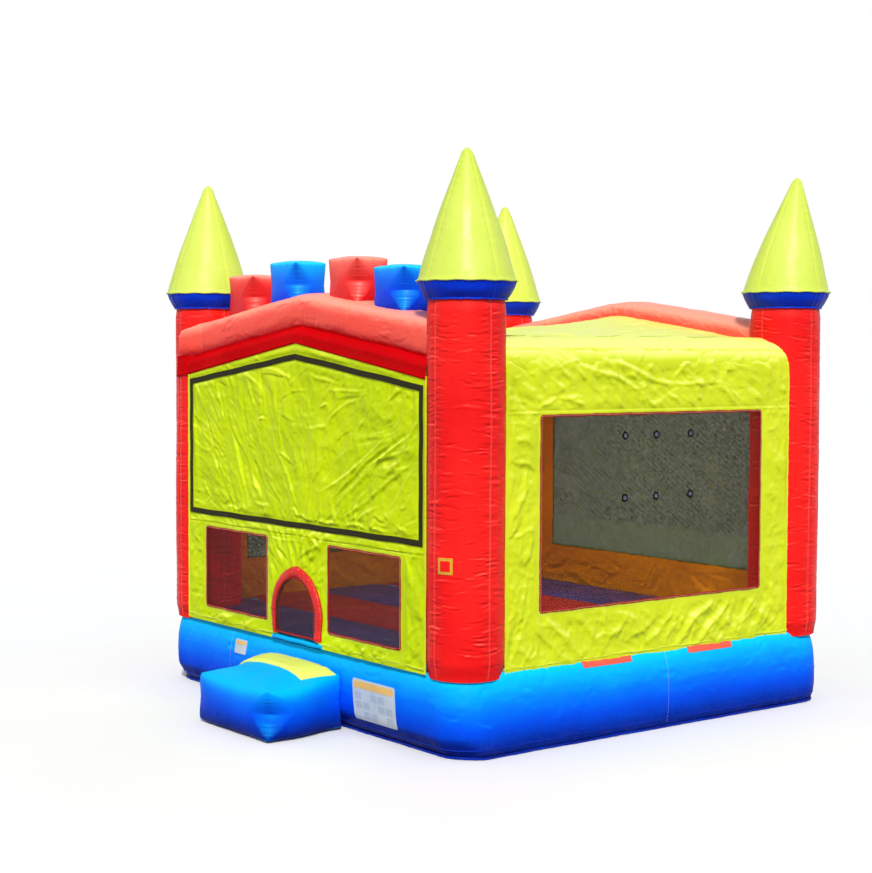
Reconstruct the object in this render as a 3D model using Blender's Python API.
"""Inflatable bounce house: a small castle with four corner spires.

Frame: X to the right seen from the entrance, Y from the entrance (-Y) to the
rear (+Y), Z up, metres. The origin lies under the centre of the jump floor, on
the ground. Every inflated chamber is a closed solid of its filled shape; sheets
and netting are thin closed plates.
"""
import math

import bmesh
import bpy

# ------------------------------------------------------------ driving sizes
BASE_X = 1.99            # half width of the base, over its bulge
BASE_Y = 1.865           # half depth of the base, over its bulge
BASE_CORNER = 0.27       # plan radius of the base's corners
BASE_TUBE = 0.57         # width of a perimeter tube
# height and inset of the perimeter tube's outer side, ground to crown
BASE_SIDE = [(0.0, 0.050), (0.02, 0.027), (0.06, 0.011), (0.14, 0.002), (0.26, 0.0),
             (0.36, 0.005), (0.44, 0.016), (0.51, 0.034), (0.56, 0.057), (0.59, 0.085),
             (0.605, 0.125)]
BASE_TOP = BASE_SIDE[-1][0]
FLOOR_LANES = 5
FLOOR_DIP = 0.035

COL_X, COL_Y = 1.727, 1.602   # column centres
COL_R = 0.269
COL_TOP = 3.087
COLLAR_TOP = 3.210
COLLAR_R0, COLLAR_R1 = 0.274, 0.334
SPIRE_TIP = 4.105
SPIRE_TIP_R = 0.028
SPIRE_LEAN = {"rear_right": (0.050, 0.062)}   # how far a tip stands off its column's axis

WALL_X = 1.926           # middle of the side walls' thickness
WALL_Y = 1.850           # middle of the front and rear walls' thickness
WALL_T = 0.012
WALL_FOOT = 0.585
SIDE_WALL_TOP = 2.70
SIDE_WALL_END = 1.409    # half length of a side wall between its columns
END_WALL_END = 1.603     # half length of a front or rear wall
NET_T = 0.004
NET_GAP = 0.0006
SIDE_WIN = (-1.105, 1.105, 0.948, 2.300)
REAR_WIN = (-1.300, 1.300, 0.940, 2.300)
FRONT_WIN_L = (-1.325, -0.405, 0.680, 1.318)
FRONT_WIN_R = (0.435, 1.325, 0.680, 1.318)
WIN_R = 0.045

BEAM_Y = 1.630           # chevron beam's centre line
BEAM_A, BEAM_B = 0.205, 0.155   # half depth and half height of its section
BEAM_PEAK = 3.025        # height of its centre line at the middle
BEAM_SLOPE = 0.14
VALANCE_LOW = (2.800, 0.155)    # height at the middle, and slope
VALANCE_TOP = (2.906, 0.142)
EAVE_X, EAVE_Z, EAVE_R = 1.752, 2.655, 0.165

DOOR_X = 0.02
DOOR_R_IN, DOOR_R_OUT = 0.262, 0.330
DOOR_SPRING = 0.778
DOOR_FOOT = 0.606

FRAME_T = 0.003          # hook-and-loop tape
FRAME_W = 0.048

BLOCK_W, BLOCK_D = 0.365, 0.275
BLOCK_Y = 1.585
BLOCKS = (("battlement_1", -1.005, 3.335), ("battlement_2", -0.385, 3.418),
          ("battlement_3", 0.425, 3.420), ("battlement_4", 0.995, 3.340))

SKIN = 0.012             # skin of a hollow chamber
VENT_R, VENT_Z = 0.090, 0.300   # air passages between the chambers

STEP_X0, STEP_X1 = -0.23, 0.715
STEP_Y0, STEP_Y1 = -2.555, -1.8665
STEP_TOP = 0.415

BLOWER_X, BLOWER_Y, BLOWER_Z = -0.90, 2.86, 0.200
BLOWER_HALF = 0.150
BLOWER_MOUTH_Y = 2.520
SLEEVE_Y0, SLEEVE_Y1 = 1.8660, 2.5190

SEG = 24                 # facets round a column


# ------------------------------------------------------------ helpers
for old in list(bpy.data.objects):
    bpy.data.objects.remove(old, do_unlink=True)

MATS = {}


def material(name, rgb, rough=0.45, metal=0.0, alpha=1.0):
    if name in MATS:
        return MATS[name]
    m = bpy.data.materials.new(name)
    m.use_nodes = True
    b = m.node_tree.nodes["Principled BSDF"]
    b.inputs["Base Color"].default_value = (*rgb, 1.0)
    b.inputs["Roughness"].default_value = rough
    b.inputs["Metallic"].default_value = metal
    b.inputs["Alpha"].default_value = alpha
    MATS[name] = m
    return m


RED = material("vinyl_red", (0.82, 0.030, 0.026))
BLUE = material("vinyl_blue", (0.0, 0.15, 0.90))
ROYAL = material("vinyl_royal", (0.003, 0.035, 0.60))
LIME = material("vinyl_lime", (0.62, 0.82, 0.05))
DARK_RED = material("vinyl_dark_red", (0.45, 0.008, 0.010))
NET = material("netting", (0.03, 0.03, 0.025), 0.8)
BLACK = material("webbing_black", (0.018, 0.018, 0.016), 0.85)
STEEL = material("ring_steel", (0.60, 0.60, 0.60), 0.3, 1.0)
PLASTIC = material("blower_plastic", (0.90, 0.55, 0.03), 0.4)
DARK = material("blower_dark", (0.04, 0.04, 0.045), 0.5)


def add(name, bm, mat, smooth=True):
    bmesh.ops.remove_doubles(bm, verts=bm.verts, dist=1e-6)
    bmesh.ops.recalc_face_normals(bm, faces=bm.faces)
    me = bpy.data.meshes.new(name)
    bm.to_mesh(me)
    bm.free()
    me.materials.append(mat)
    if smooth:
        me.shade_smooth()
        me.set_sharp_from_angle(angle=math.radians(35))
    ob = bpy.data.objects.new(name, me)
    bpy.context.scene.collection.objects.link(ob)
    return ob


def cutter(name, bm):
    ob = add(name, bm, BLACK, smooth=False)
    ob.hide_render = True
    ob.display_type = "WIRE"
    return ob


def cut(ob, *tools):
    for t in tools:
        m = ob.modifiers.new("cut_" + t.name, "BOOLEAN")
        m.operation = "DIFFERENCE"
        m.solver = "EXACT"
        m.object = t


def loft(rings, cap=True):
    """Skin a list of rings, each a closed loop of the same number of points."""
    bm = bmesh.new()
    rows = [[bm.verts.new(p) for p in r] for r in rings]
    n = len(rows[0])
    for a, b in zip(rows, rows[1:]):
        for i in range(n):
            j = (i + 1) % n
            bm.faces.new((a[i], a[j], b[j], b[i]))
    if cap:
        bm.faces.new(rows[0])
        bm.faces.new(rows[-1][::-1])
    return bm


def prism(outline, axis, lo, hi):
    """Extrude a 2-D outline along an axis. The outline's pair is (Y,Z), (X,Z) or (X,Y)."""
    def at(p, v):
        return {"X": (v, p[0], p[1]), "Y": (p[0], v, p[1]), "Z": (p[0], p[1], v)}[axis]
    return loft([[at(p, lo) for p in outline], [at(p, hi) for p in outline]])


def box(x0, x1, y0, y1, z0, z1):
    return prism([(x0, y0), (x1, y0), (x1, y1), (x0, y1)], "Z", z0, z1)


def rounded_rect(u0, u1, v0, v1, r, seg=3):
    pts = []
    for cu, cv, a0 in ((u1 - r, v0 + r, -90), (u1 - r, v1 - r, 0),
                       (u0 + r, v1 - r, 90), (u0 + r, v0 + r, 180)):
        for i in range(seg + 1):
            a = math.radians(a0 + 90 * i / seg)
            pts.append((cu + r * math.cos(a), cv + r * math.sin(a)))
    return pts


def circle(cu, cv, r, seg, phase=0.0):
    return [(cu + r * math.cos(2 * math.pi * i / seg + phase),
             cv + r * math.sin(2 * math.pi * i / seg + phase)) for i in range(seg)]


def turned(cx, cy, profile, seg=SEG):
    """A round piece on a vertical axis, from (radius, height) pairs, bottom to top."""
    return loft([[(u, v, z) for u, v in circle(cx, cy, r, seg)] for r, z in profile])


# ------------------------------------------------------------ base
def base_outline(inset, back):
    """Plan of the front perimeter tube: two rounded outer corners, straight at the back."""
    r = BASE_CORNER
    pts = [(-(BASE_X - inset), back)]
    for sx, a0 in ((-1, 180), (1, 270)):
        for i in range(7):
            a = math.radians(a0 + 90 * i / 6)
            pts.append((sx * (BASE_X - r) + (r - inset) * math.cos(a),
                        -(BASE_Y - r) + (r - inset) * math.sin(a)))
    pts.append((BASE_X - inset, back))
    return pts


INNER_Y = BASE_Y - BASE_TUBE
INNER_X = BASE_X - BASE_TUBE
# hollow inside a perimeter tube, one skin in from its outer shape
HOLLOW = [(SKIN + z * (BASE_TOP - 2 * SKIN) / BASE_TOP, d + 1.3 * SKIN) for z, d in BASE_SIDE]


def vent(name, x, y):
    """Air passage along Y, through the skins of the two chambers that meet at y."""
    return cutter("tool_vent_" + name, prism(circle(x, VENT_Z, VENT_R, 16), "Y", y - 0.05, y + 0.05))


MID_X = BASE_X - BASE_TUBE / 2
vents = {}
for end, s in (("front", -1), ("rear", 1)):
    vents[end] = [vent(end + "_left", -MID_X, s * INNER_Y), vent(end + "_floor", 0.0, s * INNER_Y),
                  vent(end + "_right", MID_X, s * INNER_Y)]

for name, s in (("base_front", 1), ("base_rear", -1)):
    rings = [[(x, y * s, z) for x, y in base_outline(d, -INNER_Y)] for z, d in BASE_SIDE]
    ob = add(name, loft(rings), BLUE)
    rings = [[(x, y * s, z) for x, y in base_outline(d, -INNER_Y - SKIN)] for z, d in HOLLOW]
    cut(ob, cutter("tool_hollow_" + name, loft(rings)), *vents["front" if s > 0 else "rear"])
for name, s in (("base_left", -1), ("base_right", 1)):
    side = [(s * (BASE_X - d), z) for z, d in BASE_SIDE]
    side += [(s * INNER_X, BASE_TOP), (s * INNER_X, 0.0)]
    ob = add(name, prism(side, "Y", -INNER_Y + 0.0006, INNER_Y - 0.0006), BLUE)
    side = [(s * (BASE_X - d), z) for z, d in HOLLOW]
    side += [(s * (INNER_X + SKIN), BASE_TOP - SKIN), (s * (INNER_X + SKIN), SKIN)]
    k = 0 if s < 0 else 2
    cut(ob, cutter("tool_hollow_" + name, prism(side, "Y", -INNER_Y + SKIN, INNER_Y - SKIN)),
        vents["front"][k], vents["rear"][k])

# jump floor: lanes run left to right, each crowned between its welded seams
half = INNER_Y - 0.0006
lane = 2 * half / FLOOR_LANES
top = []
for k in range(FLOOR_LANES):
    for i in range(6):
        t = i / 6
        top.append((-half + lane * (k + t), 0.604 - FLOOR_DIP * (2 * t - 1) ** 4))
top.append((half, 0.604 - FLOOR_DIP))
floor = [(-half, 0.0)] + top + [(half, 0.0)]
ob = add("jump_floor", prism(floor, "X", -INNER_X + 0.0006, INNER_X - 0.0006), ROYAL)
cut(ob, cutter("tool_hollow_floor", box(-INNER_X + SKIN, INNER_X - SKIN, -half + SKIN, half - SKIN,
                                        SKIN, 0.604 - FLOOR_DIP - SKIN)),
    vents["front"][1], vents["rear"][1])

# ------------------------------------------------------------ corner towers
column_cutters = {}
for tag, sx, sy in (("front_left", -1, -1), ("front_right", 1, -1),
                    ("rear_left", -1, 1), ("rear_right", 1, 1)):
    cx, cy = sx * COL_X, sy * COL_Y
    ob = add("column_" + tag, turned(cx, cy, [(COL_R, BASE_TOP + 0.0006), (COL_R, COL_TOP)]), RED)
    # hollow, and open at its foot, where the air comes up from the base
    cut(ob, cutter("tool_hollow_" + tag, turned(cx, cy, [(COL_R - SKIN, 0.5), (COL_R - SKIN, COL_TOP - SKIN)])))
    add("collar_" + tag, turned(cx, cy, [(COLLAR_R0, COL_TOP + 0.0006),
                                         (COLLAR_R0 + 0.025, COL_TOP + 0.06),
                                         (COLLAR_R1, COLLAR_TOP)]), ROYAL)
    z0 = COLLAR_TOP + 0.0006
    rings = []
    for t in (0.0, 0.12, 0.35, 0.6, 0.82, 0.95, 1.0):
        bulge = 0.016 * math.sin(math.pi * min(1.0, t * 1.1))
        r = COLLAR_R1 * (1 - t) + SPIRE_TIP_R * t + bulge * (1 - t)
        if t == 1.0:
            r = SPIRE_TIP_R * 0.45
        lx, ly = SPIRE_LEAN.get(tag, (0.0, 0.0))
        k = t ** 1.2
        rings.append([(u, v, z0 + (SPIRE_TIP - z0) * t)
                      for u, v in circle(cx + lx * k, cy + ly * k, r, SEG)])
    add("spire_" + tag, loft(rings), LIME)
    column_cutters[tag] = cutter("tool_column_" + tag,
                                 turned(cx, cy, [(COL_R + 0.0018, 0.4), (COL_R + 0.0018, 3.9)]))


# ------------------------------------------------------------ beams and eaves
def beam_height(x):
    return BEAM_PEAK - BEAM_SLOPE * (math.sqrt(x * x + 0.01) - 0.1)


def beam(sy, grow=0.0, reach=1.62):
    rings = []
    for i in range(13):
        x = -reach + 2 * reach * i / 12
        zc = beam_height(x)
        rings.append([(x, sy * BEAM_Y + (BEAM_A + grow) * math.cos(2 * math.pi * k / 16),
                       zc + (BEAM_B + grow) * math.sin(2 * math.pi * k / 16)) for k in range(16)])
    return loft(rings)


cut(add("front_beam", beam(-1), RED), column_cutters["front_left"], column_cutters["front_right"])
cut(add("rear_beam", beam(1), RED), column_cutters["rear_left"], column_cutters["rear_right"])
for name, sx, a, b in (("eave_left", -1, "front_left", "rear_left"),
                       ("eave_right", 1, "front_right", "rear_right")):
    ring = circle(sx * EAVE_X, EAVE_Z, EAVE_R, 16)
    cut(add(name, prism(ring, "Y", -1.55, 1.55), LIME), column_cutters[a], column_cutters[b])


def gable(spec, x):
    return spec[0] - spec[1] * abs(x)


for name, sy in (("front_valance", -1), ("rear_valance", 1)):
    e = END_WALL_END
    pts = [(-e, gable(VALANCE_LOW, e) + 0.001), (0, gable(VALANCE_LOW, 0) + 0.001),
           (e, gable(VALANCE_LOW, e) + 0.001), (e, gable(VALANCE_TOP, e)),
           (0, gable(VALANCE_TOP, 0)), (-e, gable(VALANCE_TOP, e))]
    lo, hi = sorted((sy * (WALL_Y - WALL_T / 2), sy * (WALL_Y + WALL_T / 2)))
    add(name, prism(pts, "Y", lo, hi), DARK_RED)

# ------------------------------------------------------------ battlement blocks
beam_tool = cutter("tool_beam", beam(-1, grow=0.0015))
for (name, cx, ztop), mat in zip(BLOCKS, (RED, BLUE, RED, BLUE)):
    zbot = ztop - 0.345
    w, d = BLOCK_W / 2, BLOCK_D / 2
    rings = []
    for z, k in ((zbot, 0.004), (zbot + 0.03, 0.0), (ztop - 0.07, 0.0), (ztop - 0.02, 0.022),
                 (ztop, 0.075)):
        ring = rounded_rect(cx - w + k, cx + w - k, -BLOCK_Y - d + k, -BLOCK_Y + d - k, 0.03, 2)
        rings.append([(u, v, z) for u, v in ring])
    cut(add(name, loft(rings), mat), beam_tool)


# ------------------------------------------------------------ walls and netting
def wall_x(name, s):
    u0, u1, v0, v1 = SIDE_WIN
    lo, hi = sorted((s * (WALL_X - WALL_T / 2), s * (WALL_X + WALL_T / 2)))
    outline = [(-SIDE_WALL_END, WALL_FOOT), (SIDE_WALL_END, WALL_FOOT),
               (SIDE_WALL_END, SIDE_WALL_TOP), (-SIDE_WALL_END, SIDE_WALL_TOP)]
    ob = add(name + "_wall", prism(outline, "X", lo, hi), LIME)
    cut(ob, cutter("tool_window_" + name, prism(rounded_rect(u0, u1, v0, v1, WIN_R), "X", lo - 0.05, hi + 0.05)))
    g = NET_GAP
    lo, hi = sorted((s * (WALL_X - NET_T / 2), s * (WALL_X + NET_T / 2)))
    add(name + "_netting", prism(rounded_rect(u0 + g, u1 - g, v0 + g, v1 - g, WIN_R - g), "X", lo, hi), NET)


def door_arch(r, z0, seg=14):
    pts = [(DOOR_X + r, z0)]
    for i in range(seg + 1):
        a = math.pi * i / seg
        pts.append((DOOR_X + r * math.cos(a), DOOR_SPRING + r * math.sin(a)))
    pts.append((DOOR_X - r, z0))
    return pts


def wall_y(name, s, windows, door=False):
    e = END_WALL_END
    lo, hi = sorted((s * (WALL_Y - WALL_T / 2), s * (WALL_Y + WALL_T / 2)))
    outline = [(-e, WALL_FOOT), (e, WALL_FOOT), (e, gable(VALANCE_LOW, e)),
               (0, gable(VALANCE_LOW, 0)), (-e, gable(VALANCE_LOW, e))]
    ob = add(name + "_wall", prism(outline, "Y", lo, hi), LIME)
    nlo, nhi = sorted((s * (WALL_Y - NET_T / 2), s * (WALL_Y + NET_T / 2)))
    g = NET_GAP
    for tag, (u0, u1, v0, v1) in windows:
        cut(ob, cutter("tool_window_" + tag, prism(rounded_rect(u0, u1, v0, v1, WIN_R), "Y", lo - 0.05, hi + 0.05)))
        add(tag, prism(rounded_rect(u0 + g, u1 - g, v0 + g, v1 - g, WIN_R - g), "Y", nlo, nhi), NET)
    if door:
        cut(ob, cutter("tool_door", prism(door_arch(DOOR_R_IN, 0.5), "Y", lo - 0.05, hi + 0.05)))


wall_x("right", 1)
wall_x("left", -1)
wall_y("front", -1, (("front_left_netting", FRONT_WIN_L), ("front_right_netting", FRONT_WIN_R)), door=True)
wall_y("rear", 1, (("rear_netting", REAR_WIN),))

# ------------------------------------------------------------ doorway
TRIM_BACK = -(WALL_Y + WALL_T / 2 + 0.0006)
TRIM_FRONT = TRIM_BACK - 0.018
ring = door_arch(DOOR_R_OUT, DOOR_FOOT) + door_arch(DOOR_R_IN, DOOR_FOOT)[::-1]
add("door_trim", prism(ring, "Y", TRIM_FRONT, TRIM_BACK), DARK_RED)

# netting flap: closes the doorway, sewn along its left edge, opens outwards
FLAP_BACK = TRIM_FRONT - 0.001
FLAP_FRONT = FLAP_BACK - NET_T
HINGE_X = DOOR_X - DOOR_R_IN - 0.010
flap = bpy.data.objects.new("door_flap_pivot", None)
bpy.context.scene.collection.objects.link(flap)
flap.location = (HINGE_X, FLAP_FRONT, DOOR_FOOT)
pts = [(u - HINGE_X, v - DOOR_FOOT) for u, v in door_arch(DOOR_R_IN + 0.010, DOOR_FOOT + 0.004)]
ob = add("door_flap", prism(pts, "Y", 0.0, NET_T), NET)
ob.parent = flap

# ------------------------------------------------------------ banner frame
def pentagon(k):
    """Outline of the tape frame, moved in by k all round."""
    e, zb = 1.585, 1.415
    zt, zp = 2.512, 2.722
    slope = (zp - zt) / e
    drop = k * math.sqrt(1 + slope * slope)
    return [(-(e - k), zb + k), (e - k, zb + k), (e - k, zp - drop - slope * (e - k)),
            (0, zp - drop), (-(e - k), zp - drop - slope * (e - k))]


frame_back = -(WALL_Y + WALL_T / 2 + 0.0006)
out, inn = pentagon(0), pentagon(FRAME_W)
bm = bmesh.new()
rows = []
for y in (frame_back, frame_back - FRAME_T):
    rows.append(([bm.verts.new((u, y, v)) for u, v in out], [bm.verts.new((u, y, v)) for u, v in inn]))
for i in range(5):
    j = (i + 1) % 5
    for k in (0, 1):
        o, n = rows[k]
        bm.faces.new((o[i], o[j], n[j], n[i]))
    bm.faces.new((rows[0][0][i], rows[0][0][j], rows[1][0][j], rows[1][0][i]))
    bm.faces.new((rows[0][1][i], rows[0][1][j], rows[1][1][j], rows[1][1][i]))
add("banner_tape_frame", bm, BLACK, smooth=False)

# ------------------------------------------------------------ roof sheet
XS = (-1.735, -1.44, -1.1, -0.72, -0.36, 0.0, 0.36, 0.72, 1.1, 1.44, 1.735)
YS = (-1.41, -1.30, -0.95, -0.5, 0.0, 0.5, 0.95, 1.30, 1.41)


def roof_height(x, y):
    edge = 2.836 + 0.215 * max(0.0, 1 - math.sqrt(x * x + 0.0064) / 1.44)
    mid = 2.836 + 0.075 * max(0.0, 1 - (x / 1.5) ** 2)
    u = min(1.0, abs(y) / 1.41) ** 2
    return edge * u + mid * (1 - u)


bm = bmesh.new()
grid = {}
for i, x in enumerate(XS):
    for j, y in enumerate(YS):
        if i in (0, len(XS) - 1) and j in (0, len(YS) - 1):
            continue
        z = roof_height(x, y)
        grid[i, j] = (bm.verts.new((x, y, z)), bm.verts.new((x, y, z + 0.010)))
cells = [(i, j) for i in range(len(XS) - 1) for j in range(len(YS) - 1)
         if all((i + a, j + b) in grid for a in (0, 1) for b in (0, 1))]
edges = {}
for i, j in cells:
    c = [(i, j), (i + 1, j), (i + 1, j + 1), (i, j + 1)]
    bm.faces.new([grid[k][1] for k in c])
    bm.faces.new([grid[k][0] for k in c][::-1])
    for a, b in zip(c, c[1:] + c[:1]):
        edges.setdefault(frozenset((a, b)), []).append((a, b))
for use in edges.values():
    if len(use) == 1:
        a, b = use[0]
        bm.faces.new((grid[a][0], grid[b][0], grid[b][1], grid[a][1]))
add("roof_sheet", bm, LIME)

# ------------------------------------------------------------ entrance step
profile = [(0.0, 0.030), (0.025, 0.010), (0.08, 0.0), (0.24, 0.0), (0.31, 0.012),
           (0.36, 0.050), (0.395, 0.110), (STEP_TOP, 0.20)]
rings = []
for z, d in profile:
    back = STEP_Y1
    ring = rounded_rect(STEP_X0 + d, STEP_X1 - d, STEP_Y0 + d, back + 0.3, 0.05, 2)
    rings.append([(u, min(v, back), z) for u, v in ring])
bm = loft(rings)
add("step_block", bm, BLUE)
add("step_pad", prism(rounded_rect(STEP_X0 + 0.045, STEP_X1 - 0.045, -2.235, -1.900, 0.02, 2), "Z",
                      STEP_TOP + 0.0006, STEP_TOP + 0.022), LIME)

# ------------------------------------------------------------ foot patches on the right side
for name, y0, y1 in (("foot_patch_front", -0.72, -0.245), ("foot_patch_rear", 0.336, 0.80)):
    zs = [(0.503, 0.0325), (0.545, 0.0490), (0.578, 0.0720)]
    ring = [(BASE_X - d + 0.0025, z) for z, d in zs] + [(BASE_X - d + 0.0055, z) for z, d in zs[::-1]]
    add(name, prism([(u, v) for u, v in ring], "Y", y0, y1), RED)

# ------------------------------------------------------------ anchor points
RING_R, RING_W, RING_LEG = 0.004, 0.030, 0.018
BAR_OUT, BAR_Z = 0.0100, 0.130    # bar's distance off the base's side, and its height


def strap_profile():
    """Webbing folded round the ring's bar, as (distance out, height)."""
    pts = [(0.002, 0.250), (0.002, BAR_Z)]
    for i in range(1, 8):
        a = math.radians(180 + 180 * i / 8)
        pts.append((BAR_OUT + 0.008 * math.cos(a), BAR_Z + 0.008 * math.sin(a)))
    pts += [(BAR_OUT + 0.008, BAR_Z), (0.0100, 0.190), (0.0068, 0.190), (BAR_OUT + 0.005, BAR_Z)]
    for i in range(1, 6):
        a = math.radians(360 - 180 * i / 6)
        pts.append((BAR_OUT + 0.005 * math.cos(a), BAR_Z + 0.005 * math.sin(a)))
    pts += [(BAR_OUT - 0.005, BAR_Z), (BAR_OUT - 0.005, 0.250)]
    return pts


def d_ring():
    """A D of round wire that hangs from its straight bar at the origin."""
    path = []
    for i in range(13):
        a = math.pi * i / 12
        path.append((RING_W * math.cos(a), -RING_LEG - RING_W * math.sin(a)))
    path += [(-RING_W, -0.004), (-RING_W + 0.004, 0.0), (0.0, 0.0), (RING_W - 0.004, 0.0), (RING_W, -0.004)]
    n = len(path)
    rows = []
    bm = bmesh.new()
    for i in range(n):
        (x0, z0), (x, z), (x1, z1) = path[i - 1], path[i], path[(i + 1) % n]
        tx, tz = x1 - x0, z1 - z0
        s = math.hypot(tx, tz)
        nx, nz = -tz / s, tx / s
        row = []
        for k in range(6):
            a = 2 * math.pi * k / 6
            row.append(bm.verts.new((x + nx * RING_R * math.cos(a), RING_R * math.sin(a), z + nz * RING_R * math.cos(a))))
        rows.append(row)
    for i in range(n):
        a, b = rows[i], rows[(i + 1) % n]
        for k in range(6):
            j = (k + 1) % 6
            bm.faces.new((a[k], a[j], b[j], b[k]))
    return bm


ANCHORS = (("rear_left", (-1.45, BASE_Y, 0.0), 0.0), ("rear_right", (1.45, BASE_Y, 0.0), 0.0),
           ("left_side", (-BASE_X, 0.0, 0.0), 90.0))
for tag, place, turn in ANCHORS:
    bm = prism([(u, v) for u, v in strap_profile()], "X", -0.022, 0.022)
    ob = add("anchor_strap_" + tag, bm, BLACK)
    ob.location = place
    ob.rotation_euler = (0, 0, math.radians(turn))
    ob = add("anchor_ring_" + tag, d_ring(), STEEL)
    a = math.radians(turn)
    ob.location = (place[0] - BAR_OUT * math.sin(a), place[1] + BAR_OUT * math.cos(a), BAR_Z)
    ob.rotation_euler = (0, 0, a)

# ------------------------------------------------------------ deflation zip, rear right
ZIP_X0, ZIP_X1, ZIP_Z = 0.45, 1.05, 0.26
add("zip_tape", box(ZIP_X0, ZIP_X1, BASE_Y + 0.0008, BASE_Y + 0.0038, ZIP_Z - 0.022, ZIP_Z + 0.022), BLACK)
bm = loft([[(0.0, 0.0, -0.008), (0.028, 0.0, -0.010), (0.028, 0.0, 0.010), (0.0, 0.0, 0.008)],
           [(0.003, 0.009, -0.006), (0.025, 0.009, -0.008), (0.025, 0.009, 0.008), (0.003, 0.009, 0.006)]])
ob = add("zip_slider", bm, STEEL)
ob.location = (ZIP_X0 + 0.02, BASE_Y + 0.0042, ZIP_Z)

# ------------------------------------------------------------ inflation sleeve
rings = []
for i in range(9):
    t = i / 8
    y = SLEEVE_Y0 + (SLEEVE_Y1 - SLEEVE_Y0) * t
    k = t ** 1.6                                     # from round at the base to the blower's mouth
    hw, hh = 0.105 + 0.047 * k, 0.105 - 0.003 * k
    swell = 0.010 * math.sin(math.pi * t)
    n = 2.0 + 4.0 * k
    zc = 0.125 - 0.018 * k
    ring = []
    for j in range(20):
        a = 2 * math.pi * j / 20
        c, s = math.cos(a), math.sin(a)
        rho = (abs(c) ** n + abs(s) ** n) ** (-1 / n)
        ring.append((BLOWER_X + (hw + swell) * rho * c, y, zc + (hh + swell) * rho * s))
    rings.append(ring)
add("inflation_sleeve", loft(rings), BLUE)


# ------------------------------------------------------------ blower
def scroll_r(deg):
    return 0.195 - 0.030 * (deg + 90) / 290


def scroll_outer():
    pts = [(BLOWER_MOUTH_Y, 0.0), (BLOWER_Y + 0.165, 0.0)]
    for i in range(14):
        deg = -30 + 230 * i / 13
        r, a = scroll_r(deg), math.radians(deg)
        pts.append((BLOWER_Y + r * math.cos(a), BLOWER_Z + r * math.sin(a)))
    pts.append((BLOWER_MOUTH_Y, 0.215))
    return pts


def scroll_inner(o=0.006):
    pts = [(BLOWER_MOUTH_Y - 0.05, 0.005 + o)]
    for i in range(17):
        deg = -90 + 286 * i / 16
        r, a = scroll_r(deg) - o, math.radians(deg)
        pts.append((BLOWER_Y + r * math.cos(a), BLOWER_Z + r * math.sin(a)))
    pts.append((BLOWER_MOUTH_Y, 0.209 - o * 0.5))
    pts.append((BLOWER_MOUTH_Y - 0.05, 0.209 - o * 0.5))
    return pts


for tag, s, hole in (("left", -1, 0.052), ("right", 1, 0.095)):
    a, b = BLOWER_X + s * 0.0004, BLOWER_X + s * BLOWER_HALF
    lo, hi = sorted((a, b))
    ob = add("blower_case_" + tag, prism(scroll_outer(), "X", lo, hi), PLASTIC)
    lo, hi = sorted((BLOWER_X - s * 0.05, BLOWER_X + s * (BLOWER_HALF - 0.006)))
    t1 = cutter("tool_pocket_" + tag, prism(scroll_inner(), "X", lo, hi))
    lo, hi = sorted((BLOWER_X + s * 0.12, BLOWER_X + s * 0.2))
    t2 = cutter("tool_inlet_" + tag, prism(circle(BLOWER_Y, BLOWER_Z, hole, 20), "X", lo, hi))
    cut(ob, t1, t2)

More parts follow.
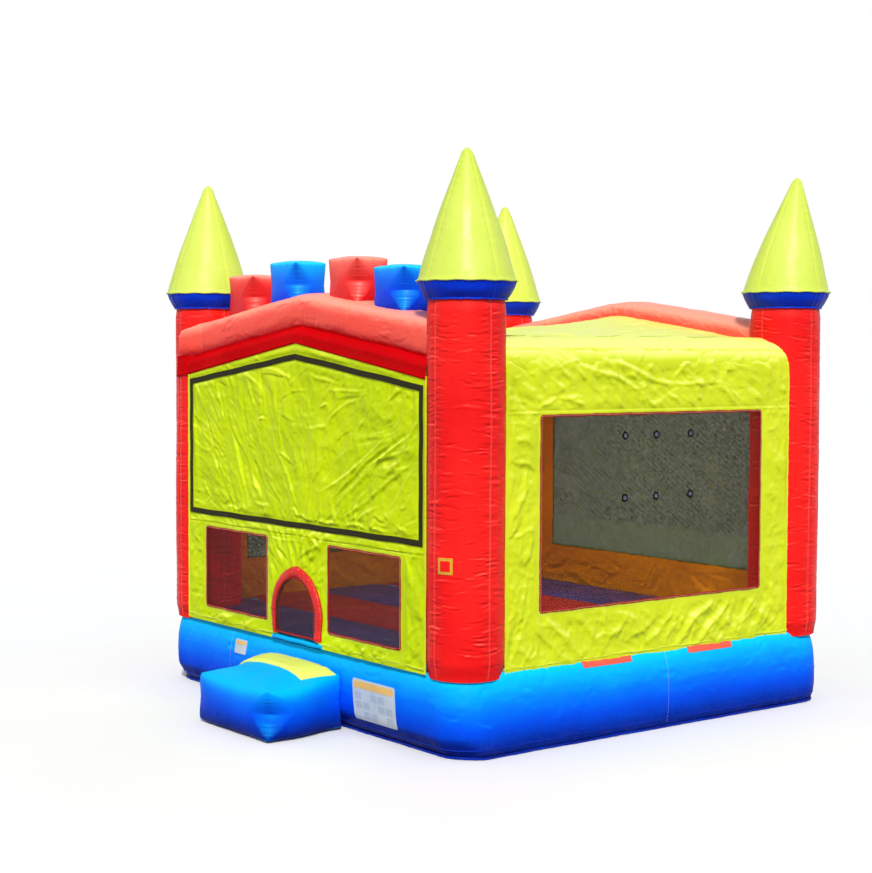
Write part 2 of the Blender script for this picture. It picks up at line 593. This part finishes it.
# squirrel-cage wheel: a toothed rim, open on the inlet side
pts = []
for i in range(18):
    for f, r in ((0.0, 0.124), (0.32, 0.124), (0.5, 0.108), (0.82, 0.108)):
        a = 2 * math.pi * (i + f) / 18
        pts.append((r * math.cos(a), r * math.sin(a)))
ob = add("blower_wheel", prism(pts, "X", -0.078, 0.100), DARK)
t = cutter("tool_wheel", prism(circle(0.0, 0.0, 0.088, 18), "X", -0.070, 0.2))
for o in (ob, t):
    o.location = (BLOWER_X, BLOWER_Y, BLOWER_Z)
cut(ob, t)

rings = []
for x, r in ((-0.215, 0.036), (-0.210, 0.047), (-0.095, 0.047), (-0.0945, 0.012), (-0.0785, 0.012)):
    rings.append([(BLOWER_X + x, BLOWER_Y + r * math.cos(2 * math.pi * k / 20),
                   BLOWER_Z + r * math.sin(2 * math.pi * k / 20)) for k in range(20)])
add("blower_motor", loft(rings), DARK)

ob = add("blower_guard", prism(circle(BLOWER_Y, BLOWER_Z, 0.106, 24), "X", BLOWER_X + BLOWER_HALF + 0.0006,
                               BLOWER_X + BLOWER_HALF + 0.0056), DARK)
for k in range(-3, 4):
    zc = BLOWER_Z + 0.024 * k
    w = math.sqrt(0.090 ** 2 - (abs(0.024 * k) + 0.006) ** 2)
    cut(ob, cutter("tool_slot_%d" % (k + 3), box(BLOWER_X + 0.12, BLOWER_X + 0.2, BLOWER_Y - w, BLOWER_Y + w,
                                               zc - 0.007, zc + 0.007)))

path = [(2.800, 0.3700), (2.800, 0.405), (2.806, 0.421), (2.822, 0.430), (2.860, 0.433), (2.898, 0.430),
        (2.914, 0.421), (2.920, 0.405), (2.920, 0.3735)]
rings = []
for i, (y, z) in enumerate(path):
    (y0, z0), (y1, z1) = path[max(0, i - 1)], path[min(len(path) - 1, i + 1)]
    s = math.hypot(y1 - y0, z1 - z0)
    ny, nz = -(z1 - z0) / s, (y1 - y0) / s
    rings.append([(BLOWER_X + 0.010 * math.sin(2 * math.pi * k / 8), y + ny * 0.010 * math.cos(2 * math.pi * k / 8),
                   z + nz * 0.010 * math.cos(2 * math.pi * k / 8)) for k in range(8)])
add("blower_handle", loft(rings), DARK)

SWITCH_Y, SWITCH_Z = 2.985, 0.090
ob = add("blower_switch", box(-0.002, 0.002, -0.010, 0.010, -0.014, 0.014), DARK)
ob.location = (BLOWER_X + BLOWER_HALF + 0.0052, SWITCH_Y, SWITCH_Z)
